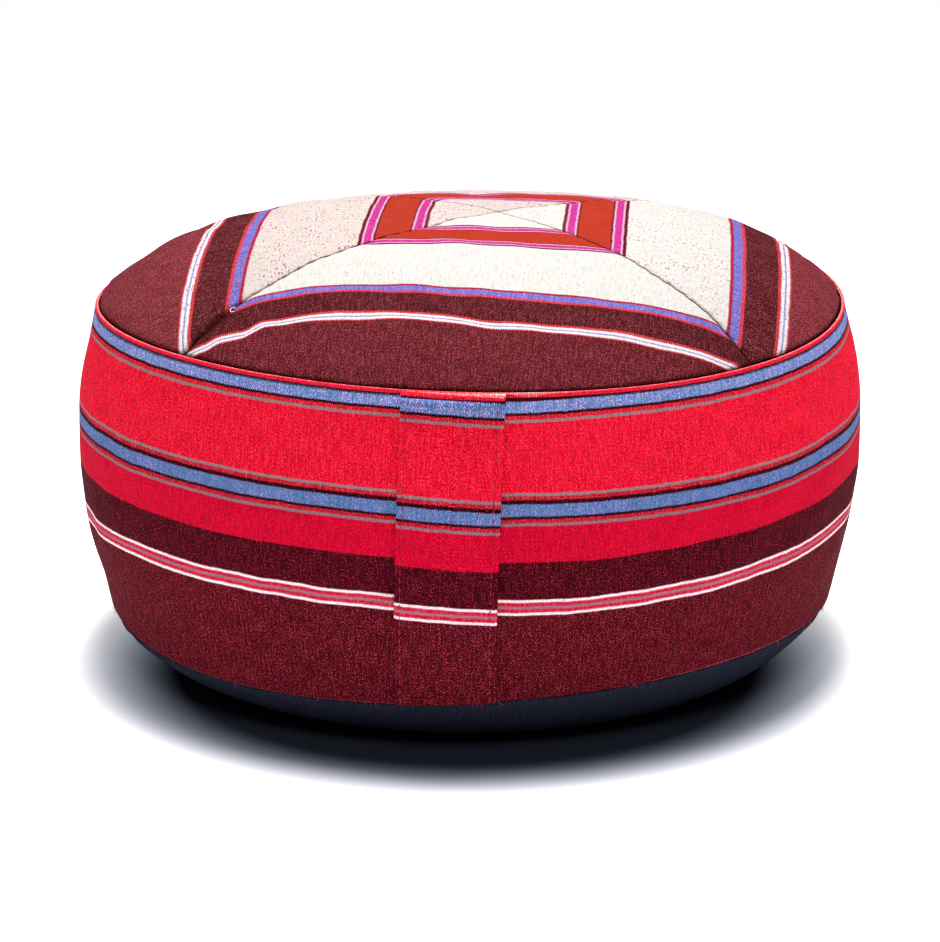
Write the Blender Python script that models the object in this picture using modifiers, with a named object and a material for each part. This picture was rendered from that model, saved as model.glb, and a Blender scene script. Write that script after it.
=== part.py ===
"""Round meditation cushion: a firmly filled body with a striped side band, a top of four
mitred panels, a dark base panel and a carrying strap sewn flat down the front.

Metres, +Z up. The origin is the middle of the flat base, on the surface that the cushion
stands on. The strap is on the front, towards -Y. Angles round the cushion start at the front
and grow towards +X.
"""

import math
from collections import namedtuple

import bmesh
import bpy
from mathutils import Vector

MM = 0.001

# Driving sizes, in millimetres until a function turns them to metres.
SIDES = 72  # flat facets round the cushion
PANEL_CLOTH = 1.5  # top and base cloth with its turned edges
STRAP_CLOTH = 2.0  # two layers of band cloth
GAP = 0.3  # between pieces that are sewn together
CONTACT_RADIUS = 112.0  # the part of the base that touches the ground

# The side band, from its top seam down to the ground. Lean says how far a ring rises on the +X
# side and sinks on the -X side, and sway how far it rises and sinks twice round, because the
# filling has settled unevenly.
Ring = namedtuple("Ring", "place radius height lean sway")
RINGS = (
    Ring("top seam", 156.6, 151.9, 0.6, -2.2),
    Ring("upper blue stripe", 157.8, 147.5, 0.6, -2.2),
    Ring("lower blue stripe", 164.9, 107.7, 1.6, -2.8),
    Ring("foot of the red", 165.0, 86.9, 1.9, -2.6),
    Ring("pink stripe", 163.3, 68.8, 3.7, -3.5),
    Ring("base seam", 153.7, 25.0, -0.4, 3.7),
    Ring("ground", CONTACT_RADIUS, 0.0, 0.0, 0.0),
)
TOP_SEAM, BASE_SEAM = RINGS[0], RINGS[5]

# The crown above the top seam, by share of the seam's radius.
Crown = namedtuple("Crown", "share height")
CROWN = (
    Crown(0.00, 35.5),
    Crown(0.25, 34.0),
    Crown(0.50, 30.2),
    Crown(0.68, 24.0),
    Crown(0.82, 16.8),
    Crown(0.93, 7.6),
    Crown(1.00, 0.0),
)
CROWN_LEAN = -1.3  # the crown's own rise towards +X
CROWN_NOD = 1.4  # its rise towards the front
CROWN_CROSS = -8.9  # its rise at the front and back, against that at the sides
CROWN_FOOT = 140.0  # the height from which the crown's own unevenness counts

# Soft dips where the top is gathered into its seam at the front left.
Dip = namedtuple("Dip", "angle distance depth width")
DIPS = (
    Dip(-0.92, 128.0, 1.6, 15.0),
    Dip(-0.60, 131.0, 1.8, 13.0),
    Dip(-0.33, 133.0, 1.4, 14.0),
)

# The rolled edge of the band that stands in the top seam.
ROLL_RADIUS = 1.4
ROLL_INSET = 0.4  # its middle, inside the seam's radius
ROLL_DROP = 1.0  # and below the seam
ROLL_POINTS = 5
ROLL_CREASE = 2.6  # how far below the seam the crease under it lies
ROLL_START = math.radians(125)
ROLL_END = math.radians(-25)

# The top's four panels meet at one point, a little off the cushion's middle.
MITRE_X, MITRE_Y = 11.9, 4.2
MITRE_TURN = math.radians(-3.45)
PANEL_SIDES = ("front", "right", "back", "left")

# Where the rings of the faceted surfaces lie. The seat is the filling under the top panels.
CROWN_SHARES = (0.0, 0.12, 0.24, 0.36, 0.48, 0.58, 0.68, 0.76, 0.83, 0.89, 0.94, 0.975)
SEAT_SHARES = (0.0, 0.24, 0.48, 0.68, 0.83, 0.89, 0.94, 0.975, 1.0)
PANEL_RIM = 0.992  # where the top panels end
BAND_RINGS = 11
BAND_CROWDING = 1.15  # above 1, the band's rings lie closer at its top
BASE_RINGS = 5
BASE_TUCK = math.radians(35)  # the arc that the base's edge is a stretched copy of

PROBE = 0.001  # a small step along a profile, to read its direction
MERGE = 0.01  # distance under which a turned surface closes on its axis
SHARP = math.radians(50)  # folds sharper than this are not shaded smooth

# The strap follows the band. Lift is how far it stands off the band, roll how much thicker it
# is where its end is folded.
STRAP_WIDTH = 40.0
STRAP_TOP = 151.4
STRAP_FOOT = 25.6
STRAP_COLUMNS = 8
STRAP_ROWS = 26
Strap = namedtuple("Strap", "height angle lift roll")
STRAP = (
    Strap(151.4, -0.040, 1.7, 1.25),
    Strap(149.0, -0.040, 1.4, 1.25),
    Strap(147.6, -0.041, 0.9, 1.00),
    Strap(125.0, -0.045, 1.2, 1.00),
    Strap(90.0, -0.053, 1.4, 1.00),
    Strap(55.0, -0.059, 1.1, 1.00),
    Strap(25.6, -0.062, 0.5, 1.00),
)


def smooth(points, x):
    """Reads a smooth curve through (x, value) points, in rising x, without overshoot."""
    steps = [(b[1] - a[1]) / (b[0] - a[0]) for a, b in zip(points, points[1:])]
    slopes = [steps[0]]
    for before, after in zip(steps, steps[1:]):
        level = before * after <= 0
        slopes.append(0.0 if level else 2 * before * after / (before + after))
    slopes.append(steps[-1])
    x = min(max(x, points[0][0]), points[-1][0])
    i = max(k for k in range(len(steps)) if k == 0 or points[k][0] <= x)
    (x0, y0), (x1, y1) = points[i], points[i + 1]
    span = x1 - x0
    t = (x - x0) / span
    return (
        y0 * (1 + 2 * t) * (1 - t) ** 2
        + y1 * t * t * (3 - 2 * t)
        + span * t * (1 - t) * (slopes[i] * (1 - t) - slopes[i + 1] * t)
    )


def by_height(column):
    """The named column of the ring table as (height, value) points, lowest first."""
    return [(ring.height, getattr(ring, column)) for ring in reversed(RINGS)]


BAND_RADIUS = by_height("radius")[1:]
LEAN = by_height("lean")
SWAY = by_height("sway")
# One more point mirrored past the middle keeps the crown level there.
CROWN_HEIGHT = [(-CROWN[1].share, CROWN[1].height)] + [(row.share, row.height) for row in CROWN]


def offset(curve, t, distance):
    """The point at t of a profile that runs from the top down, moved out by a distance."""
    ahead, behind = curve(t + PROBE), curve(t - PROBE)
    along = Vector((ahead[0] - behind[0], ahead[1] - behind[1])).normalized()
    radius, height = curve(t)
    return radius - along.y * distance, height + along.x * distance


def crown_curve(share):
    """Radius and height of the crown at a share of the seam's radius."""
    return share * TOP_SEAM.radius, TOP_SEAM.height + smooth(CROWN_HEIGHT, share)


def band_curve(drop):
    """Radius and height of the band at a drop below the top seam."""
    height = TOP_SEAM.height - drop
    return smooth(BAND_RADIUS, height), height


def base_curve(t):
    """Radius and height of the base's rounded edge, from the base seam at 0 to the ground at 1."""
    turn = BASE_TUCK * (1 - t)
    out = math.sin(turn) / math.sin(BASE_TUCK)
    up = (1 - math.cos(turn)) / (1 - math.cos(BASE_TUCK))
    return CONTACT_RADIUS + (BASE_SEAM.radius - CONTACT_RADIUS) * out, BASE_SEAM.height * up


def roll_points():
    """The rolled edge's profile, from inside the seam over its top to the crease under it."""
    middle_radius = TOP_SEAM.radius - ROLL_INSET
    middle_height = TOP_SEAM.height - ROLL_DROP
    for i in range(ROLL_POINTS):
        angle = ROLL_START + (ROLL_END - ROLL_START) * i / (ROLL_POINTS - 1)
        yield (
            middle_radius + ROLL_RADIUS * math.cos(angle),
            middle_height + ROLL_RADIUS * math.sin(angle),
        )


def settle(point):
    """Moves a point of the round, even shape to where the settled filling has it."""
    x, y, z = (value / MM for value in point)
    radius, angle = math.hypot(x, y), math.atan2(x, -y)
    share = min(radius / TOP_SEAM.radius, 1.0)
    rise = share**2 * (
        smooth(LEAN, z) * math.sin(angle) + smooth(SWAY, z) * math.sin(2 * angle)
    )
    if z > CROWN_FOOT:
        tilt = CROWN_LEAN * math.sin(angle) + CROWN_NOD * math.cos(angle)
        cross = CROWN_CROSS * share * math.cos(2 * angle)
        rise += share * (1 - share**2) * (tilt + cross)
        for dip in DIPS:
            away = math.hypot(
                x - dip.distance * math.sin(dip.angle), y + dip.distance * math.cos(dip.angle)
            )
            rise -= dip.depth * math.exp(-((away / dip.width) ** 2))
    return Vector((x, y, z + rise)) * MM


def material(name, colour, roughness):
    """A cloth finish: base colour as linear red, green and blue, with no metal in it."""
    finish = bpy.data.materials.new(name)
    finish.use_nodes = True
    shader = finish.node_tree.nodes["Principled BSDF"]
    shader.inputs["Base Color"].default_value = (*colour, 1.0)
    shader.inputs["Roughness"].default_value = roughness
    shader.inputs["Metallic"].default_value = 0.0
    return finish


def turned(name, profile):
    """A surface turned round Z from a profile of (radius, height) points, top to bottom."""
    mesh = bpy.data.meshes.new(name)
    points = [(radius * MM, 0.0, height * MM) for radius, height in profile]
    mesh.from_pydata(points, [(i, i + 1) for i in range(len(points) - 1)], [])
    obj = bpy.data.objects.new(name, mesh)
    screw = obj.modifiers.new("turn", "SCREW")
    screw.axis = "Z"
    screw.angle = math.tau
    screw.steps = screw.render_steps = SIDES
    screw.use_merge_vertices = True
    screw.merge_threshold = MERGE * MM
    return obj


def thicken(obj, thickness, group=""):
    """Gives an open surface its cloth thickness, inwards for a positive value."""
    wall = obj.modifiers.new("cloth", "SOLIDIFY")
    wall.thickness = thickness * MM
    wall.offset = -1.0
    wall.use_even_offset = True
    wall.vertex_group = group


def evaluated_mesh(obj):
    """A new mesh of the object as its modifiers make it."""
    linked = bpy.context.scene.collection.objects
    linked.link(obj)
    bpy.context.view_layer.update()
    mesh = bpy.data.meshes.new_from_object(
        obj.evaluated_get(bpy.context.evaluated_depsgraph_get())
    )
    linked.unlink(obj)
    return mesh


def finished(obj, collection, finish):
    """Applies the modifiers, settles the shape and files the object in its collection."""
    mesh = evaluated_mesh(obj)
    obj.modifiers.clear()
    obj.data = mesh
    collection.objects.link(obj)
    for vertex in mesh.vertices:
        vertex.co = settle(vertex.co)
    mesh.materials.clear()
    mesh.materials.append(finish)
    mesh.shade_smooth()
    mesh.set_sharp_from_angle(angle=SHARP)
    return obj


def filled_body():
    """The filling inside its side band, with a shallow seat for the top and base panels."""
    seat = -(PANEL_CLOTH + GAP)
    profile = [offset(crown_curve, share, seat) for share in SEAT_SHARES]
    profile[0] = (0.0, profile[0][1])
    profile.extend(roll_points())
    depth = TOP_SEAM.height - BASE_SEAM.height
    for i in range(BAND_RINGS):
        share = (i / (BAND_RINGS - 1)) ** BAND_CROWDING
        profile.append(band_curve(ROLL_CREASE + (depth - ROLL_CREASE) * share))
    profile.extend(offset(base_curve, i / BASE_RINGS, seat) for i in range(BASE_RINGS + 1))
    profile.append((0.0, -seat))
    return turned("filled_body", profile)


def top_panel(side, quarter):
    """One quarter of the top: a wedge of the crown's cloth between two mitred seams."""
    shares = [*CROWN_SHARES, PANEL_RIM]
    panel = turned(f"top_panel_{side}", [crown_curve(share) for share in shares])
    thicken(panel, PANEL_CLOTH)
    mesh = bmesh.new()
    mesh.from_mesh(evaluated_mesh(panel))
    facing = MITRE_TURN + quarter * math.pi / 2
    for lean in (-math.pi / 4, math.pi / 4):
        inward = Vector((math.sin(facing + lean), -math.cos(facing + lean), 0.0))
        middle = Vector((MITRE_X, MITRE_Y, 0.0))
        cut = bmesh.ops.bisect_plane(
            mesh,
            geom=[*mesh.verts, *mesh.edges, *mesh.faces],
            dist=MERGE * MM / 10,
            plane_co=(middle + inward * GAP / 2) * MM,
            plane_no=inward,
            clear_inner=True,
        )
        rim = [edge for edge in cut["geom_cut"] if isinstance(edge, bmesh.types.BMEdge)]
        bmesh.ops.edgeloop_fill(mesh, edges=rim)
    bmesh.ops.recalc_face_normals(mesh, faces=mesh.faces)
    panel.modifiers.clear()
    mesh.to_mesh(panel.data)
    mesh.free()
    return panel


def base_panel():
    """The round base cloth, flat on the ground and curled up at its edge to the base seam."""
    below_seam = GAP * PROBE / math.dist(base_curve(0.0), base_curve(PROBE))
    profile = [base_curve(below_seam)]
    profile.extend(base_curve(i / BASE_RINGS) for i in range(1, BASE_RINGS + 1))
    profile.append((0.0, 0.0))
    panel = turned("base_panel", profile)
    thicken(panel, PANEL_CLOTH)
    return panel


def carrying_strap():
    """The strap: a grid bent round the band, thickened outwards, with a fold at its top end."""
    bpy.ops.mesh.primitive_grid_add(
        x_subdivisions=STRAP_COLUMNS, y_subdivisions=STRAP_ROWS, size=1.0
    )
    strap = bpy.context.object
    strap.name = strap.data.name = "carrying_strap"
    angle = [(row.height, row.angle) for row in reversed(STRAP)]
    lift = [(row.height, row.lift) for row in reversed(STRAP)]
    roll = [(row.height, row.roll) for row in reversed(STRAP)]
    most = max(row.roll for row in STRAP)
    group = strap.vertex_groups.new(name="thickness")
    for vertex in strap.data.vertices:
        across = vertex.co.x * STRAP_WIDTH
        height = STRAP_FOOT + (vertex.co.y + 0.5) * (STRAP_TOP - STRAP_FOOT)
        stand_off = smooth(lift, height)
        radius, level = offset(band_curve, TOP_SEAM.height - height, stand_off)
        turn = smooth(angle, height) + across / radius
        vertex.co = Vector((radius * math.sin(turn), -radius * math.cos(turn), level)) * MM
        group.add([vertex.index], smooth(roll, height) / most, "REPLACE")
    thicken(strap, -STRAP_CLOTH * most, group.name)
    strap.users_collection[0].objects.unlink(strap)
    return strap


def main():
    """Builds each piece and files it in the cushion's collection."""
    for obj in list(bpy.data.objects):
        bpy.data.objects.remove(obj, do_unlink=True)
    cushion = bpy.data.collections.new("meditation_cushion")
    bpy.context.scene.collection.children.link(cushion)
    finished(filled_body(), cushion, material("red striped cotton", (0.67, 0.02, 0.05), 0.85))
    for quarter, side in enumerate(PANEL_SIDES):
        finish = material(f"burgundy chambray, {side}", (0.13, 0.02, 0.03), 0.8)
        finished(top_panel(side, quarter), cushion, finish)
    finished(base_panel(), cushion, material("black cotton", (0.012, 0.012, 0.016), 0.9))
    finished(carrying_strap(), cushion, material("strap cotton", (0.6, 0.02, 0.05), 0.85))


main()
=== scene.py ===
"""Looks of the round meditation cushion: striped handwoven cotton over a firm filling.

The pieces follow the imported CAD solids. Lengths are in millimetres until a mesh is made, +Z is
up, and angles round the cushion start at the front, towards -Y, and grow towards +X.
"""

from __future__ import annotations

import logging
import math
import random
from collections.abc import Callable, Sequence
from dataclasses import dataclass, field
from enum import Enum

import bpy
import numpy as np
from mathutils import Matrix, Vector
from mathutils.kdtree import KDTree

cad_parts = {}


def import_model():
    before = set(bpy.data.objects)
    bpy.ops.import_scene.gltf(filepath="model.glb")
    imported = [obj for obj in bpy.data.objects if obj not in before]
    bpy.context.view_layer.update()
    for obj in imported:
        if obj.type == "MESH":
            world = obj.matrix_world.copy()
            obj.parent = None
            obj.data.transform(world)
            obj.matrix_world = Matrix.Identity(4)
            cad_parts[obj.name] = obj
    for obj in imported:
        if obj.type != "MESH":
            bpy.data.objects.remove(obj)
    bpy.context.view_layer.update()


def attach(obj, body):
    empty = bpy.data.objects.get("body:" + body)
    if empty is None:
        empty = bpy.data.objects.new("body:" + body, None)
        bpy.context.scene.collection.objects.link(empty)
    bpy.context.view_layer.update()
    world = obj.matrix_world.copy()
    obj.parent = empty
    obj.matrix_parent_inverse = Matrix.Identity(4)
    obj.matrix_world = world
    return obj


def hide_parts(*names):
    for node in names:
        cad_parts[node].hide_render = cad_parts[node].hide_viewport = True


LOG = logging.getLogger("meditation_cushion")
MM = 0.001
CLOTH_UV = "cloth"
SEAM_SHADE = "seam_shade"

Array = np.ndarray
Point = tuple[float, float]
Profile = Callable[[Array], tuple[Array, Array]]


class Slot(str, Enum):
    """The record's material slots."""

    BAND = "side_band_cotton"
    TOP = "top_cotton"
    BASE = "base_cotton"
    STRAP = "strap_cotton"


class Side(Enum):
    """The four panels of the top, in the order in which they follow each other round it."""

    FRONT = 0
    RIGHT = 1
    BACK = 2
    LEFT = 3


class SmoothCurve:
    """A smooth curve through points, without overshoot, as in the CAD source."""

    def __init__(self, points: Sequence[Point]) -> None:
        """Keeps the points and works out the slope at each.

        Args:
            points: (x, value) pairs in rising x.
        """
        self.x = np.array([p[0] for p in points], dtype=float)
        self.y = np.array([p[1] for p in points], dtype=float)
        steps = np.diff(self.y) / np.diff(self.x)
        before, after = steps[:-1], steps[1:]
        total = before + after
        even = np.where(total == 0, 1.0, total)
        inner = np.where(before * after > 0, 2 * before * after / even, 0.0)
        self.slope = np.concatenate([steps[:1], inner, steps[-1:]])

    def __call__(self, x: Array | float) -> Array:
        """Reads the curve.

        Args:
            x: Where to read it. Values past the ends read the end points.

        Returns:
            The values there.
        """
        x = np.clip(np.asarray(x, dtype=float), self.x[0], self.x[-1])
        i = np.clip(np.searchsorted(self.x, x, side="right") - 1, 0, len(self.x) - 2)
        span = self.x[i + 1] - self.x[i]
        t = (x - self.x[i]) / span
        ends = self.y[i] * (1 + 2 * t) * (1 - t) ** 2 + self.y[i + 1] * t * t * (3 - 2 * t)
        return ends + span * t * (1 - t) * (self.slope[i] * (1 - t) - self.slope[i + 1] * t)


@dataclass(frozen=True)
class Ring:
    """One level of the side band: its size, and how the settled filling tilts and bends it."""

    height: float
    radius: float
    lean: float
    sway: float


@dataclass(frozen=True)
class Dip:
    """A soft dip where the top is gathered into its seam."""

    angle: float
    distance: float
    depth: float
    width: float


@dataclass(frozen=True)
class CushionSize:
    """The cushion's own sizes, the same as in the CAD source."""

    rings: tuple[Ring, ...] = (
        Ring(0.0, 112.0, 0.0, 0.0),
        Ring(25.0, 153.7, -0.4, 3.7),
        Ring(68.8, 163.3, 3.7, -3.5),
        Ring(86.9, 165.0, 1.9, -2.6),
        Ring(107.7, 164.9, 1.6, -2.8),
        Ring(147.5, 157.8, 0.6, -2.2),
        Ring(151.9, 156.6, 0.6, -2.2),
    )
    crown: tuple[Point, ...] = (
        (-0.25, 34.0),
        (0.00, 35.5),
        (0.25, 34.0),
        (0.50, 30.2),
        (0.68, 24.0),
        (0.82, 16.8),
        (0.93, 7.6),
        (1.00, 0.0),
    )
    crown_lean: float = -1.3
    crown_nod: float = 1.4
    crown_cross: float = -8.9
    crown_foot: float = 140.0
    dips: tuple[Dip, ...] = (
        Dip(-0.92, 128.0, 1.6, 15.0),
        Dip(-0.60, 131.0, 1.8, 13.0),
        Dip(-0.33, 133.0, 1.4, 14.0),
    )
    panel_cloth: float = 1.5
    strap_cloth: float = 2.0
    gap: float = 0.3
    base_tuck: float = math.radians(35)
    mitre_centre: Point = (11.9, 4.2)
    mitre_turn: float = math.radians(-3.45)
    panel_rim: float = 0.992


class Skin:
    """The cushion's outer surface as profiles turned round Z and then settled."""

    PROBE = 0.001

    def __init__(self, size: CushionSize) -> None:
        """Prepares the curves of the skin.

        Args:
            size: The cushion's sizes.
        """
        self.size = size
        self.contact, self.base_seam, self.top_seam = size.rings[0], size.rings[1], size.rings[-1]
        self.radius_at = SmoothCurve([(r.height, r.radius) for r in size.rings[1:]])
        self.lean_at = SmoothCurve([(r.height, r.lean) for r in size.rings])
        self.sway_at = SmoothCurve([(r.height, r.sway) for r in size.rings])
        self.crown_at = SmoothCurve(size.crown)
        shares = np.linspace(0.0, 1.0, 600)
        radius, height = self.crown(shares)
        steps = np.hypot(np.diff(radius), np.diff(height))
        self.arc_shares = shares
        self.arcs = np.concatenate([[0.0], np.cumsum(steps)])

    def crown(self, share: Array) -> tuple[Array, Array]:
        """Radius and height of the crown at a share of the seam's radius."""
        return share * self.top_seam.radius, self.top_seam.height + self.crown_at(share)

    def band(self, drop: Array) -> tuple[Array, Array]:
        """Radius and height of the band at a drop below the top seam."""
        height = self.top_seam.height - np.asarray(drop, dtype=float)
        return self.radius_at(height), height

    def base(self, t: Array) -> tuple[Array, Array]:
        """Radius and height of the base's rounded edge, from its seam at 0 to the ground at 1."""
        tuck = self.size.base_tuck
        turn = tuck * (1 - np.asarray(t, dtype=float))
        out = np.sin(turn) / math.sin(tuck)
        up = (1 - np.cos(turn)) / (1 - math.cos(tuck))
        reach = self.base_seam.radius - self.contact.radius
        return self.contact.radius + reach * out, self.base_seam.height * up

    def offset(self, profile: Profile, t: Array, distance: Array | float) -> tuple[Array, Array]:
        """Moves a profile outwards along its normal.

        Args:
            profile: One of the skin's profiles, which run from the top down.
            t: Where on the profile.
            distance: How far out, in millimetres.

        Returns:
            The moved radius and height.
        """
        t = np.asarray(t, dtype=float)
        ahead, behind = profile(t + self.PROBE), profile(t - self.PROBE)
        run, rise = ahead[0] - behind[0], ahead[1] - behind[1]
        length = np.hypot(run, rise)
        radius, height = profile(t)
        return radius - rise / length * distance, height + run / length * distance

    def share_at(self, arc: Array) -> Array:
        """The crown's share at a distance from its middle, measured along the cloth."""
        return np.interp(arc, self.arcs, self.arc_shares)

    def settled(self, x: Array, y: Array, z: Array) -> Array:
        """Moves points of the even shape to where the settled filling has them.

        Args:
            x: Their places along X.
            y: Their places along Y.
            z: Their heights.

        Returns:
            The points, with x, y and z along the last axis.
        """
        size = self.size
        angle = np.arctan2(x, -y)
        share = np.minimum(np.hypot(x, y) / self.top_seam.radius, 1.0)
        rise = self.lean_at(z) * np.sin(angle) + self.sway_at(z) * np.sin(2 * angle)
        rise = rise * share**2
        tilt = size.crown_lean * np.sin(angle) + size.crown_nod * np.cos(angle)
        cross = size.crown_cross * share * np.cos(2 * angle)
        own = share * (1 - share**2) * (tilt + cross)
        for dip in size.dips:
            middle_x = dip.distance * math.sin(dip.angle)
            middle_y = -dip.distance * math.cos(dip.angle)
            away = np.hypot(x - middle_x, y - middle_y)
            own = own - dip.depth * np.exp(-((away / dip.width) ** 2))
        rise = rise + np.where(z > size.crown_foot, own, 0.0)
        return np.stack([x, y, z + rise], axis=-1)

    def turned(self, radius: Array, angle: Array, height: Array) -> Array:
        """Settled points at a radius and an angle round the axis, and at a height."""
        return self.settled(radius * np.sin(angle), -radius * np.cos(angle), height)


class Waves:
    """Smooth unevenness made of a few seeded waves."""

    def __init__(self, seed: int, longest: float, shortest: float, count: int = 14) -> None:
        """Draws the waves.

        Args:
            seed: Seed of the random numbers.
            longest: Longest wave, in millimetres.
            shortest: Shortest wave, in millimetres.
            count: How many waves are added up.
        """
        draw = random.Random(seed)
        self.waves = []
        for _ in range(count):
            length = draw.uniform(shortest, longest)
            heading, phase = draw.uniform(0, math.tau), draw.uniform(0, math.tau)
            turns = math.tau / length
            self.waves.append((turns * math.cos(heading), turns * math.sin(heading), phase))

    def __call__(self, u: Array, v: Array) -> Array:
        """Height at places on the cloth, mostly between -1 and 1."""
        total = sum(np.cos(a * u + b * v + phase) for a, b, phase in self.waves)
        return total / math.sqrt(len(self.waves))


def linked(name: str, data: bpy.types.ID) -> bpy.types.Object:
    """Adds an object with this data to the scene."""
    obj = bpy.data.objects.new(name, data)
    bpy.context.scene.collection.objects.link(obj)
    return obj


@dataclass
class Patch:
    """A rectangular net of points with its place on the cloth, in millimetres."""

    points: Array
    cloth: Array
    closed: bool = False
    shade: Array | None = None

    def normals(self) -> Array:
        """Outward unit normals of the net."""
        down = np.gradient(self.points, axis=0)
        if self.closed:
            ring = self.points[:, :-1]
            along = np.roll(ring, -1, axis=1) - np.roll(ring, 1, axis=1)
            along = np.concatenate([along, along[:, :1]], axis=1)
        else:
            along = np.gradient(self.points, axis=1)
        normal = np.cross(down, along)
        length = np.linalg.norm(normal, axis=-1, keepdims=True)
        return normal / np.maximum(length, 1e-12)

    def raised(self, height: Array) -> Patch:
        """The same net with each point moved out along its normal."""
        moved = self.points + self.normals() * height[..., None]
        return Patch(moved, self.cloth, self.closed, self.shade)

    def to_object(self, name: str, poles: tuple[bool, bool] = (False, False)) -> bpy.types.Object:
        """Makes a mesh object of the net.

        Args:
            name: The object's name.
            poles: Whether the first and the last row each close in one point.

        Returns:
            The object, smooth shaded, with the places on the cloth as a UV map in metres.
        """
        rows, columns = self.points.shape[:2]
        kept = columns - 1 if self.closed else columns
        index = np.arange(rows * kept).reshape(rows, kept)
        if self.closed:
            index = np.concatenate([index, index[:, :1]], axis=1)
        corners = []
        for i in range(rows - 1):
            for j in range(columns - 1):
                quad = [(i, j), (i + 1, j), (i + 1, j + 1), (i, j + 1)]
                if poles[0] and i == 0:
                    quad = quad[:3]
                if poles[1] and i == rows - 2:
                    quad = [quad[0], quad[1], quad[3]]
                corners.append(quad)
        vertex = index.copy()
        if poles[0]:
            vertex[0, :] = index[0, 0]
        if poles[1]:
            vertex[-1, :] = index[-1, 0]
        used, place = np.unique(vertex, return_inverse=True)
        vertex = place.reshape(vertex.shape)
        points = self.points[:, :kept].reshape(-1, 3)[used] * MM
        mesh = bpy.data.meshes.new(name)
        faces = [[int(vertex[i, j]) for i, j in quad] for quad in corners]
        mesh.from_pydata(points.tolist(), [], faces)
        layer = mesh.uv_layers.new(name=CLOTH_UV)
        flat = [self.cloth[i, j] * MM for quad in corners for i, j in quad]
        layer.data.foreach_set("uv", np.array(flat, dtype=np.float32).ravel())
        if self.shade is not None:
            dark = mesh.attributes.new(SEAM_SHADE, "FLOAT", "POINT")
            values = self.shade[:, :kept].reshape(-1)[used]
            dark.data.foreach_set("value", values.astype(np.float32))
        mesh.shade_smooth()
        return linked(name, mesh)


def bump(x: Array, middle: float, width: float) -> Array:
    """A soft bump of height 1."""
    return np.exp(-(((x - middle) / width) ** 2))


def ramped(x: Array, start: float, length: float) -> Array:
    """Rises evenly from 0 at the start to 1 over a length, and is level beyond."""
    return np.clip((x - start) / length, 0, 1)


@dataclass(frozen=True)
class Groove:
    """A soft groove or fold: where its middle is, how wide it is and how deep."""

    place: float
    width: float
    depth: float

    def __call__(self, x: Array) -> Array:
        """Its depth at places across it."""
        return self.depth * bump(x, self.place, self.width)


def apply_modifier(obj: bpy.types.Object, modifier: bpy.types.Modifier) -> None:
    """Applies one modifier of an object."""
    bpy.ops.object.select_all(action="DESELECT")
    bpy.context.view_layer.objects.active = obj
    obj.select_set(True)
    bpy.ops.object.modifier_apply(modifier=modifier.name)


def thicken(obj: bpy.types.Object, thickness: float) -> None:
    """Gives an open surface its cloth thickness, on its inner side, in millimetres."""
    wall = obj.modifiers.new("cloth thickness", "SOLIDIFY")
    wall.thickness = thickness * MM
    wall.offset = -1.0
    apply_modifier(obj, wall)


def linear(colour: str) -> tuple[float, float, float, float]:
    """A hex sRGB colour as linear red, green, blue and alpha."""
    values = [int(colour[i : i + 2], 16) / 255 for i in (1, 3, 5)]
    parts = [v / 12.92 if v <= 0.04045 else ((v + 0.055) / 1.055) ** 2.4 for v in values]
    return (*parts, 1.0)


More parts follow.
